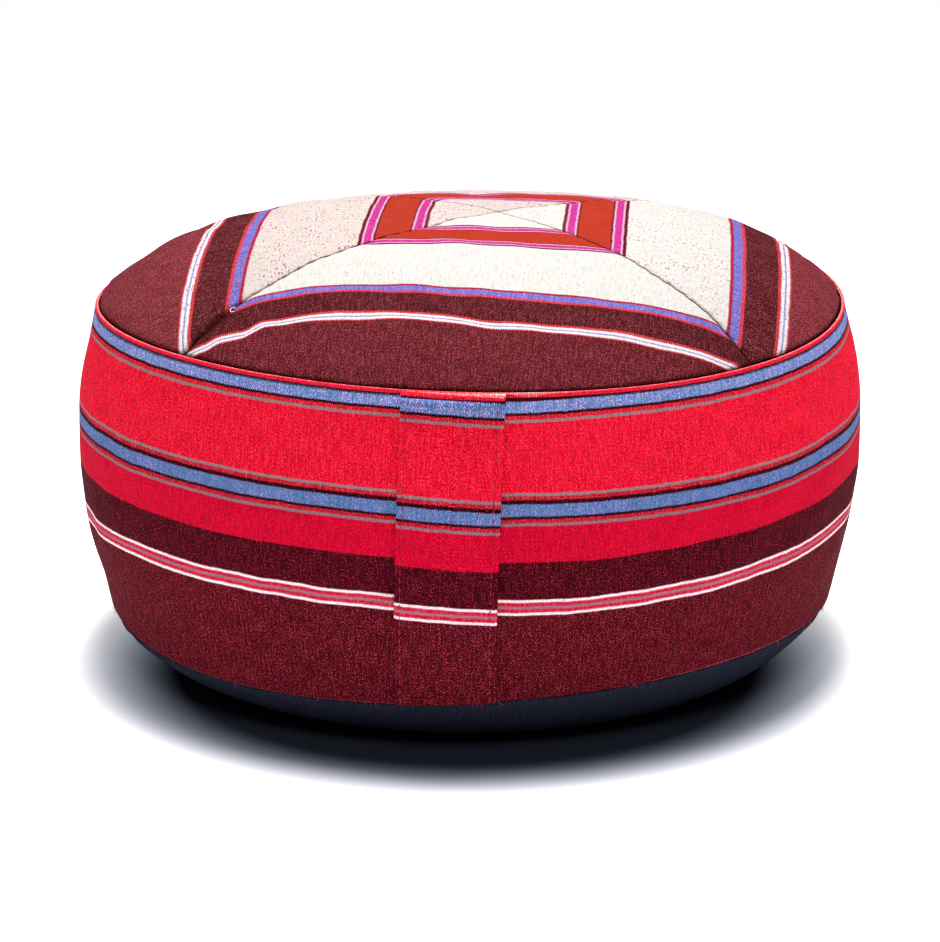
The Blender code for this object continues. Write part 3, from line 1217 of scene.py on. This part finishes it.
class TopPanel(SoftPiece):
    """One mitred quarter of the top."""

    BOW_INNER = SmoothCurve(
        [
            (-98, 1.2), (-79, -1.2), (-55, -2.4), (-30, -0.6),
            (0, 0.9), (24, 0.8), (60, -1.5), (90, -2.3),
        ]
    )
    BOW_OUTER = SmoothCurve(
        [
            (-112, 2.6), (-106, 1.0), (-100, 1.4), (-96, 1.3), (-91, -2.5), (-86, -5.0),
            (-80, -5.0), (-72, -4.0), (-62, -2.0), (-28, 0.1), (6, 4.5), (46, 2.1), (102, -3.4),
        ]
    )

    FRONT_CREASES = (
        Crease((-67.0, 142.8), (-51.0, 139.4), 0.8, 1.3),
        Crease((-44.0, 146.6), (-28.0, 145.6), 0.5, 1.4),
        Crease((-84.0, 135.5), (-71.0, 147.0), 0.45, 2.2),
        Crease((-100.0, 112.0), (-88.0, 127.0), 0.5, 3.0),
        Crease((-88.0, 108.0), (-76.0, 126.0), 0.45, 4.0),
    )
    SIDE_CREASES = (
        Crease((34.0, 128.0), (52.0, 146.0), 0.5, 2.6),
        Crease((50.0, 126.0), (66.0, 140.0), 0.5, 2.2),
        Crease((10.0, 134.0), (24.0, 150.0), 0.45, 3.0),
        Crease((-30.0, 130.0), (-44.0, 146.0), 0.4, 3.0),
        Crease((-64.0, 126.0), (-72.0, 138.0), 0.45, 2.4),
    )

    def __init__(self, skin: Skin, size: PanelSize, side: Side) -> None:
        """Keeps the sizes.

        Args:
            skin: The cushion's surface.
            size: The panel's sizes.
            side: Which panel it is.
        """
        super().__init__(skin)
        self.size = size
        self.side = side

    def columns(self, half: Array) -> Array:
        """Places along a row, from one mitre to the other, for each row's half length."""
        edges = np.array(self.size.edges)
        shrink = np.minimum(1.0, half / (2.5 * edges[-1]))
        starts = edges[None, :] * shrink[:, None] - half[:, None]
        inner = np.linspace(-1, 1, self.size.middle_columns + 2)[1:-1]
        reach = half - edges[-1] * shrink
        middle = inner[None, :] * reach[:, None]
        return np.concatenate([starts, middle, -starts[:, ::-1]], axis=1)

    def net(self) -> PanelNet:
        """Lays out the panel's points.

        Returns:
            Rows of points from near the mitres' meeting point out to the rim.
        """
        skin, size = self.skin, self.size
        centre_x, centre_y = skin.size.mitre_centre
        facing = skin.size.mitre_turn + self.side.value * math.pi / 2
        rim = skin.arcs[-1] * skin.size.panel_rim
        spaced = np.linspace(0, 1, size.rows) ** size.row_ease
        share = size.first_row + (1 - size.first_row) * spaced
        reach = share * rim
        alpha = self.columns(reach * math.pi / 4) / reach[:, None]
        heading_x, heading_y = np.sin(facing + alpha), -np.cos(facing + alpha)
        inward = centre_x * heading_x + centre_y * heading_y
        far = -inward + np.sqrt(inward**2 + rim**2 - centre_x**2 - centre_y**2)
        distance = share[:, None] * far
        x, y = centre_x + distance * heading_x, centre_y + distance * heading_y
        return PanelNet(x, y, distance, alpha, rim)

    def woven(self, net: PanelNet) -> Array:
        """Where across its striped cloth the panel lies: the front one's stripes bow."""
        if self.side is not Side.FRONT:
            return net.across
        blend = ramped(net.across, *self.size.bow_change)
        bow = self.BOW_INNER(net.along) * (1 - blend) + self.BOW_OUTER(net.along) * blend
        return net.across - ramped(net.across, *self.size.bow_start) * bow

    def relief(self, net: PanelNet, near_rim: Array) -> Array:
        """Height of the panel's seams, puckers, lumps, gathers and creases over the crown.

        Args:
            net: The panel's points.
            near_rim: How near the rim they are, from 0 to 1.

        Returns:
            The height at each point.
        """
        size, inside = self.size, net.rim - net.arc
        depth = size.seam_depth[0] + size.seam_depth[1] * near_rim**2
        width = size.seam_width[0] + size.seam_width[1] * near_rim
        height = -depth * np.exp(-net.away / width)
        puckers = np.cos(net.distance * math.tau / size.pucker_pitch + self.side.value)
        puckers *= np.exp(-net.away / size.pucker_reach)
        height += size.pucker * puckers * ramped(net.distance, 0.0, size.pucker_start)
        lumps = Waves(seed=23, longest=48.0, shortest=17.0)(net.x, net.y)
        height += size.lump * lumps * ramped(inside, 0.0, size.lump_fade)
        waves = Waves(seed=31, longest=26.0, shortest=11.0)
        gathers = waves(net.angle * size.gather_around, net.arc / 2)
        height += size.gather * gathers * np.exp(-inside / size.gather_reach)
        height -= size.rim_depth * np.exp(-inside / size.rim_width)
        creases = self.FRONT_CREASES if self.side is Side.FRONT else self.SIDE_CREASES
        return height - sum(crease(net.along, net.across) for crease in creases)

    def build(self, finish: bpy.types.Material) -> bpy.types.Object:
        """Makes the piece.

        Args:
            finish: Its material.

        Returns:
            The piece.
        """
        skin, size, net = self.skin, self.size, self.net()
        radius, height = skin.crown(skin.share_at(net.arc))
        points = skin.turned(radius, net.angle, height)
        offset = size.cloth_apart * self.side.value
        patch = Patch(points, np.stack([net.along + offset, self.woven(net)], axis=-1))
        near_rim = ramped(net.distance, 0.0, size.rim_reach)
        # Painted shade along the mitre seams, kept as the seam_shade attribute; it is wider near
        # the front-left seam.
        front_left = (points[..., 0] < 0) & (points[..., 1] < 0)
        width = size.shade_width[0] + size.shade_width[1] * near_rim
        width = width + size.front_left_shade_widening(net.distance) * front_left
        patch.shade = size.shade * bump(net.away, 0.0, width)
        obj = patch.raised(self.relief(net, near_rim)).to_object(
            f"top_cloth_{self.side.name.lower()}"
        )
        thicken(obj, skin.size.panel_cloth)
        self.file(obj, finish, Slot.TOP, f"top_panel_{self.side.name.lower()}")
        self.declare(obj)
        return obj

    def declare(self, obj: bpy.types.Object) -> None:
        """Reads where the mitres meet, and does nothing with it."""
        centre_x, centre_y = self.skin.size.mitre_centre


@dataclass(frozen=True)
class BaseSize:
    """Sizes of the base panel's net and of the puckers at its seam."""

    columns: int = 480
    curl_rows: int = 26
    curl_ease: float = 1.3
    flat_rows: int = 8
    start: float = 0.012
    around: float = 150.0
    seam_around: float = 154.0
    pucker: float = 0.5
    pucker_reach: float = 9.0
    pucker_start: float = 1.5
    seam_depth: float = 0.5
    seam_width: float = 0.7


class BasePanel(SoftPiece):
    """The dark round panel that curls up to the base seam."""

    def build(self, finish: bpy.types.Material, size: BaseSize) -> bpy.types.Object:
        """Makes the piece.

        Args:
            finish: Its material.
            size: Its sizes.

        Returns:
            The piece.
        """
        skin = self.skin
        t = size.start + (1 - size.start) * np.linspace(0, 1, size.curl_rows) ** size.curl_ease
        edge_r, edge_z = skin.base(t)
        flat_r = np.linspace(skin.contact.radius, 0.0, size.flat_rows + 1)[1:]
        radius = np.concatenate([edge_r, flat_r])
        height = np.concatenate([edge_z, np.zeros(len(flat_r))])
        steps = np.hypot(np.diff(radius), np.diff(height))
        across = np.concatenate([[0.0], np.cumsum(steps)])
        angle = np.linspace(0, math.tau, size.columns + 1)
        turn, r = np.meshgrid(angle, radius)
        z = np.repeat(height[:, None], len(angle), axis=1)
        points = skin.turned(r, turn, z)
        drop = np.repeat(across[:, None], len(angle), axis=1)
        cloth = np.stack([turn * size.around, drop], axis=-1)
        patch = Patch(points, cloth, closed=True)
        waves = Waves(seed=47, longest=40.0, shortest=14.0)
        puckers = size.pucker * waves(turn * size.seam_around, 0 * turn)
        puckers *= np.exp(-drop / size.pucker_reach) * ramped(drop, 0.0, size.pucker_start)
        relief = puckers - size.seam_depth * np.exp(-drop / size.seam_width)
        obj = patch.raised(relief).to_object("base_cloth", (False, True))
        thicken(obj, skin.size.panel_cloth)
        self.file(obj, finish, Slot.BASE, "base_panel")
        return obj


@dataclass(frozen=True)
class StrapLevel:
    """The strap at one height: where it lies round the band and how it stands off it."""

    height: float
    angle: float
    lift: float
    roll: float


@dataclass(frozen=True)
class StrapSize:
    """Sizes of the carrying strap."""

    width: float = 40.0
    top: float = 151.4
    foot: float = 25.6
    columns: int = 56
    rows: int = 176
    levels: tuple[StrapLevel, ...] = (
        StrapLevel(25.6, -0.062, 0.5, 1.00),
        StrapLevel(55.0, -0.059, 1.1, 1.00),
        StrapLevel(90.0, -0.053, 1.4, 1.00),
        StrapLevel(125.0, -0.045, 1.2, 1.00),
        StrapLevel(147.6, -0.041, 0.9, 1.00),
        StrapLevel(149.0, -0.040, 1.4, 1.25),
        StrapLevel(151.4, -0.040, 1.7, 1.25),
    )
    # Shifts of the stripes down the strap; at its top they lay the band's painted highlight stripe
    # along the strap's fold.
    shifts: tuple[Point, ...] = (
        (0.0, 2.3), (2.7, 2.5), (3.1, 1.1), (6.0, 1.8), (9.0, 2.1), (45.0, 1.9), (64.0, 1.9),
        (80.0, 2.0), (128.0, 2.0),
    )
    tilt: float = 0.04
    crowding: float = 0.92
    edge_rounding: float = 0.7
    end_rounding: float = 0.8
    top_fold: Groove = Groove(2.2, 1.5, 0.9)
    fold_line: Groove = Groove(4.3, 0.6, 0.7)
    inner_gap: float = 0.3
    tucked_in: float = 3.0
    stitch_seed: int = 5
    stitch_rows: Point = (-17.8, 17.3)
    stitch_groove: Groove = Groove(0.0, 0.6, 0.3)
    stitch_ends: Point = (6.0, 1.0)
    stitch: float = 2.5
    stitch_gap: float = 1.1
    stitch_points: int = 6
    stitch_arch: float = 0.24
    stitch_sunk: float = 0.46
    stitch_slip: Point = (0.12, 0.15)
    thread: float = 0.26


class CarryingStrap(SoftPiece):
    """The flat strap of doubled band cloth down the front."""

    def __init__(self, skin: Skin, size: StrapSize) -> None:
        """Keeps the sizes.

        Args:
            skin: The cushion's surface.
            size: The strap's sizes.
        """
        super().__init__(skin)
        self.size = size
        self.angle_at = SmoothCurve([(s.height, s.angle) for s in size.levels])
        self.lift_at = SmoothCurve([(s.height, s.lift) for s in size.levels])
        self.roll_at = SmoothCurve([(s.height, s.roll) for s in size.levels])
        self.shift_at = SmoothCurve(size.shifts)

    def surface(self, across: Array, height: Array, out: Array | float) -> Array:
        """Points on the strap's face.

        Args:
            across: Distance from its middle line.
            height: Height before the filling settled.
            out: Distance outwards from its inner face.

        Returns:
            The points.
        """
        skin = self.skin
        drop = skin.top_seam.height - height
        radius, level = skin.offset(skin.band, drop, self.lift_at(height) + out)
        turn = self.angle_at(height) + across / radius
        return skin.turned(radius, turn, level)

    def build(self, finish: bpy.types.Material) -> bpy.types.Object:
        """Makes the piece.

        Args:
            finish: Its material.

        Returns:
            The piece.
        """
        size, skin = self.size, self.skin
        share = np.sin(np.linspace(-1, 1, size.columns) * math.pi / 2 * size.crowding)
        across = share / share[-1] * size.width / 2
        heights = np.linspace(size.top, size.foot, size.rows)
        wide, height = np.meshgrid(across, heights)
        drop = skin.top_seam.height - height
        end = np.minimum(size.top - height, height - size.foot)
        out = skin.size.strap_cloth * self.roll_at(height)
        for rounding, inside in (
            (size.edge_rounding, size.width / 2 - np.abs(wide)),
            (size.end_rounding, end),
        ):
            out = out - rounding * np.exp(-inside / rounding)
        out = out + size.top_fold(drop) - size.fold_line(drop)
        out = out - sum(size.stitch_groove(wide - place) for place in size.stitch_rows)
        points = self.surface(wide, height, out)
        pattern = drop - self.shift_at(drop) - size.tilt * wide
        patch = Patch(points, np.stack([wide, pattern], axis=-1))
        obj = patch.to_object("strap_cloth")
        thicken(obj, skin.size.strap_cloth - size.inner_gap)
        self.file(obj, finish, Slot.STRAP, "carrying_strap")
        return obj

    def stitches(self, finish: bpy.types.Material) -> bpy.types.Object:
        """Makes the two rows of stitches along the strap's edges.

        Args:
            finish: The thread's material.

        Returns:
            The stitches as one piece.
        """
        size, skin = self.size, self.skin
        threads = ThreadMesh()
        draw = random.Random(size.stitch_seed)
        sideways, lengthways = size.stitch_slip
        count = size.stitch_points
        arch = np.sin(np.linspace(0, math.pi, count)) * size.stitch_arch
        out = skin.size.strap_cloth - size.stitch_sunk + arch
        for place in size.stitch_rows:
            height = size.top - size.stitch_ends[0]
            while height - size.stitch > size.foot + size.stitch_ends[1]:
                ends = np.linspace(height, height - size.stitch, count)
                wide = place + draw.uniform(-sideways, sideways) + np.zeros(count)
                threads.add(self.surface(wide, ends, out), size.thread)
                gap = size.stitch_gap + draw.uniform(-lengthways, lengthways)
                height -= size.stitch + gap
        obj = threads.to_object("strap_stitches")
        self.file(obj, finish, Slot.STRAP)
        return obj


class ThreadMesh:
    """Short lengths of thread, gathered into one mesh."""

    SIDES = 6
    END_SHARE = 0.45
    LEAN = np.array([0.3, 0.4, 0.87])

    def __init__(self) -> None:
        """Starts with no threads."""
        self.points: list[Array] = []
        self.faces: list[list[int]] = []
        self.count = 0

    def add(self, path: Array, radius: float) -> None:
        """Adds a closed tube along a path.

        Args:
            path: Points in millimetres.
            radius: The thread's radius in millimetres.
        """
        path = np.asarray(path, dtype=float)
        along = np.gradient(path, axis=0)
        along /= np.linalg.norm(along, axis=1, keepdims=True)
        side = np.cross(along, self.LEAN)
        side /= np.linalg.norm(side, axis=1, keepdims=True)
        other = np.cross(side, along)
        turns = np.linspace(0, math.tau, self.SIDES, endpoint=False)
        taper = np.ones(len(path))
        taper[[0, -1]] = self.END_SHARE
        ahead, aside = np.cos(turns)[None, :, None], np.sin(turns)[None, :, None]
        ring = ahead * side[:, None] + aside * other[:, None]
        points = path[:, None] + ring * (radius * taper)[:, None, None]
        first, sides = self.count, self.SIDES
        for i in range(len(path) - 1):
            for j in range(sides):
                a, b = first + i * sides + j, first + i * sides + (j + 1) % sides
                self.faces.append([a, a + sides, b + sides, b])
        last = first + (len(path) - 1) * sides
        self.faces.append([first + j for j in range(sides)])
        self.faces.append([last + j for j in reversed(range(sides))])
        self.points.append(points.reshape(-1, 3))
        self.count += len(path) * sides

    def to_object(self, name: str) -> bpy.types.Object:
        """Makes a mesh object of all the threads."""
        mesh = bpy.data.meshes.new(name)
        mesh.from_pydata((np.concatenate(self.points) * MM).tolist(), [], self.faces)
        mesh.shade_smooth()
        return linked(name, mesh)


@dataclass(frozen=True)
class FraySize:
    """Sizes of the loose thread ends and of the curl of lint."""

    seed: int = 19
    count: int = 34
    length: Point = (1.2, 3.4)
    swing: Point = (-1.6, 1.6)
    points: int = 7
    start: float = 0.9
    sunk: float = 0.2
    lift: float = 0.5
    tuck: float = 0.55
    around: float = 154.0
    thread: float = 0.11
    curl_place: Point = (-95.0, -97.0)
    curl_turn: Point = (0.3, 5.2)
    curl_half: Point = (1.1, 1.5)
    curl_points: int = 14
    curl_sunk: float = 0.2
    curl_thread: float = 0.14


class SeamFrays(SoftPiece):
    """Loose thread ends along the base seam, and a curl of lint in the top's left mitre."""

    def __init__(self, skin: Skin, size: FraySize) -> None:
        """Keeps the sizes.

        Args:
            skin: The cushion's surface.
            size: The threads' sizes.
        """
        super().__init__(skin)
        self.size = size

    def build(self, finish: bpy.types.Material) -> bpy.types.Object:
        """Makes the thread ends.

        Args:
            finish: The thread's material.

        Returns:
            The thread ends as one piece.
        """
        skin, size = self.skin, self.size
        depth = skin.top_seam.height - skin.base_seam.height
        threads = ThreadMesh()
        draw = random.Random(size.seed)
        for _ in range(size.count):
            angle = draw.uniform(-math.pi, math.pi)
            length, swing = draw.uniform(*size.length), draw.uniform(*size.swing)
            t = np.linspace(0, 1, size.points)
            drop = depth - size.start + length * t
            past = np.maximum(drop - depth, 0)
            radius, height = skin.band(drop - past)
            radius = radius - size.sunk + size.lift * t - size.tuck * past
            turn = angle + swing * t**2 / size.around
            threads.add(skin.turned(radius, turn, height - past), size.thread)
        obj = threads.to_object("base_seam_frays")
        self.file(obj, finish, Slot.BAND)
        return obj

    def lint(self, finish: bpy.types.Material) -> bpy.types.Object:
        """Makes a small open curl of pale thread on the top.

        Args:
            finish: The thread's material.

        Returns:
            The curl.
        """
        skin, size = self.skin, self.size
        turn = np.linspace(*size.curl_turn, size.curl_points)
        x = size.curl_place[0] + size.curl_half[0] * np.cos(turn)
        y = size.curl_place[1] + size.curl_half[1] * np.sin(turn)
        shares = skin.share_at(np.hypot(x, y))
        out = skin.size.panel_cloth - size.curl_sunk
        radius, height = skin.offset(skin.crown, shares, out)
        threads = ThreadMesh()
        threads.add(skin.turned(radius, np.arctan2(x, -y), height), size.curl_thread)
        obj = threads.to_object("mitre_lint")
        self.file(obj, finish, Slot.TOP)
        return obj


def thread_finish(name: str, colour: str) -> bpy.types.Material:
    """Spun cotton thread, a little uneven in colour."""
    made = bpy.data.materials.new(name)
    made.use_nodes = True
    nodes = Nodes(made)
    place = nodes.add("ShaderNodeTexCoord").outputs["Object"]
    twist = nodes.add("ShaderNodeTexNoise", {"Vector": place, "Scale": 2600.0}).outputs["Fac"]
    plain = nodes.add("ShaderNodeRGB")
    plain.outputs[0].default_value = linear(colour)
    tinted = nodes.scaled(plain.outputs[0], nodes.swing(twist, 0.25))
    nodes.join(tinted, nodes.shader.inputs["Base Color"])
    nodes.shader.inputs["Roughness"].default_value = 0.8
    nodes.shader.inputs["Specular IOR Level"].default_value = 0.15
    return made


def plain_cloth(name: str, colour: str, thread: str) -> bpy.types.Material:
    """A plain woven cloth: one colour with the threads that cross it."""
    weave = Weave(tooth=0.0, wander=0.0, crossing=0.3, twill=0.1)
    stripes = (Stripe(-50.0, colour, thread), Stripe(400.0, colour, thread))
    return StripedCloth(name, stripes, end=450.0, weave=weave).build()


@dataclass(frozen=True)
class Studio:
    """Camera, light and floor."""

    target: tuple[float, float, float] = (0.0, 0.0, 0.08)
    distance: float = 1.58
    elevation: float = math.radians(16.23)
    lens: float = 141.67
    shift_y: float = -0.01306
    # The floor's painted shadow: its middle, and the distances from it where it starts and stops
    # fading out; glow is how strongly the floor glows outside it.
    shade_centre: Point = (-0.0016, -0.0306)
    shade_edge: Point = (0.121, 0.177)
    glow: float = 0.62
    sensor: float = 36.0
    floor_size: float = 14.0
    floor_height: float = -0.0004
    sky: tuple[float, float, float, float] = (0.94, 0.97, 1.0, 1.0)
    sky_strength: float = 0.05
    # Blue of the painted shadow's soft edge.
    painted_shadow_blue: tuple[float, float, float, float] = (0.66, 0.74, 1.0, 1.0)
    white: tuple[float, float, float, float] = (1.0, 1.0, 1.0, 1.0)

    def build(self) -> None:
        """Places the camera, the lights and the floor."""
        scene = bpy.context.scene
        scene.view_settings.view_transform = "Standard"
        target = Vector(self.target)
        back = Vector((0.0, -math.cos(self.elevation), math.sin(self.elevation)))
        camera = linked("camera", bpy.data.cameras.new("camera"))
        camera.location = target + back * self.distance
        camera.rotation_euler = (-back).to_track_quat("-Z", "Y").to_euler()
        camera.data.lens = self.lens
        camera.data.sensor_width = self.sensor
        camera.data.shift_y = self.shift_y
        scene.camera = camera

        world = bpy.data.worlds.new("studio")
        world.use_nodes = True
        sky = world.node_tree.nodes["Background"]
        sky.inputs["Color"].default_value = self.sky
        sky.inputs["Strength"].default_value = self.sky_strength
        scene.world = world
        self.lamp("overhead softbox", (0.02, 0.04, 1.4), (0.6, 0.45), 42.0)
        self.lamp("front softbox", (0.0, -1.25, 1.2), (0.4, 0.4), 4.5)
        self.floor()

    def lamp(
        self, name: str, place: tuple[float, float, float], size: Point, power: float
    ) -> None:
        """Adds a soft oblong lamp that faces the cushion.

        Args:
            name: Its name.
            place: Where it hangs, in metres.
            size: Its width and depth, in metres.
            power: Its power, in watts.
        """
        light = bpy.data.lights.new(name, "AREA")
        light.shape = "RECTANGLE"
        light.size, light.size_y = size
        light.energy = power
        lamp = linked(name, light)
        lamp.location = place
        aim = Vector(self.target) - Vector(place)
        lamp.rotation_euler = aim.to_track_quat("-Z", "Y").to_euler()

    def floor(self) -> None:
        """Adds the pale floor, which glows away from the cushion and is darkened round it as a
        painted shadow.
        """
        middle = (0.0, 0.0, self.floor_height)
        bpy.ops.mesh.primitive_plane_add(size=self.floor_size, location=middle)
        floor = bpy.context.object
        floor.name = "floor"
        finish = bpy.data.materials.new("white lit sweep")
        finish.use_nodes = True
        nodes = Nodes(finish)
        place = nodes.add("ShaderNodeTexCoord").outputs["Object"]
        centre = nodes.add("ShaderNodeVectorMath", {0: place}, {"operation": "SUBTRACT"})
        centre.inputs[1].default_value = (*self.shade_centre, 0.0)
        inputs = {0: centre.outputs[0]}
        away = nodes.add("ShaderNodeVectorMath", inputs, {"operation": "LENGTH"})
        inputs = {"Value": away.outputs["Value"], 1: self.shade_edge[0], 2: self.shade_edge[1]}
        settings = {"interpolation_type": "SMOOTHSTEP"}
        lit = nodes.add("ShaderNodeMapRange", inputs, settings).outputs[0]
        glow = nodes.maths("MULTIPLY", lit, self.glow)
        shader = nodes.shader
        # Painted shadow: the floor's colour darkens to a blue grey round the cushion.
        pale = nodes.mixed(linear("#3E4252"), linear("#F6F7FA"), lit)
        nodes.join(pale, shader.inputs["Base Color"])
        shader.inputs["Roughness"].default_value = 0.9
        shader.inputs["Specular IOR Level"].default_value = 0.1
        # The floor's glow turns blue in the painted shadow's soft edge.
        tone = nodes.mixed(self.painted_shadow_blue, self.white, lit)
        nodes.join(tone, shader.inputs["Emission Color"])
        nodes.join(glow, shader.inputs["Emission Strength"])
        floor.data.materials.append(finish)


def main() -> None:
    """Builds the cushion and its studio."""
    logging.basicConfig(level=logging.INFO, format="%(message)s")
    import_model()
    Studio().build()
    skin = Skin(CushionSize())
    LOG.info("crown's arc: %.1f mm", skin.arcs[-1])
    band_cloth = BAND_CLOTH.build()
    FilledBody(skin, BodySize()).build(band_cloth)
    for side in Side:
        TopPanel(skin, PanelSize(), side).build(top_cloth(side).build())
    BasePanel(skin).build(plain_cloth("black cotton", "#1E202C", "#3A3E52"), BaseSize())
    strap = CarryingStrap(skin, StrapSize())
    strap.build(band_cloth)
    strap.stitches(thread_finish("crimson sewing thread", "#A01830"))
    frays = SeamFrays(skin, FraySize())
    frays.build(thread_finish("burgundy thread ends", "#A83048"))
    frays.lint(thread_finish("pale lint", "#E8D8C8"))


if __name__ == "__main__":
    main()
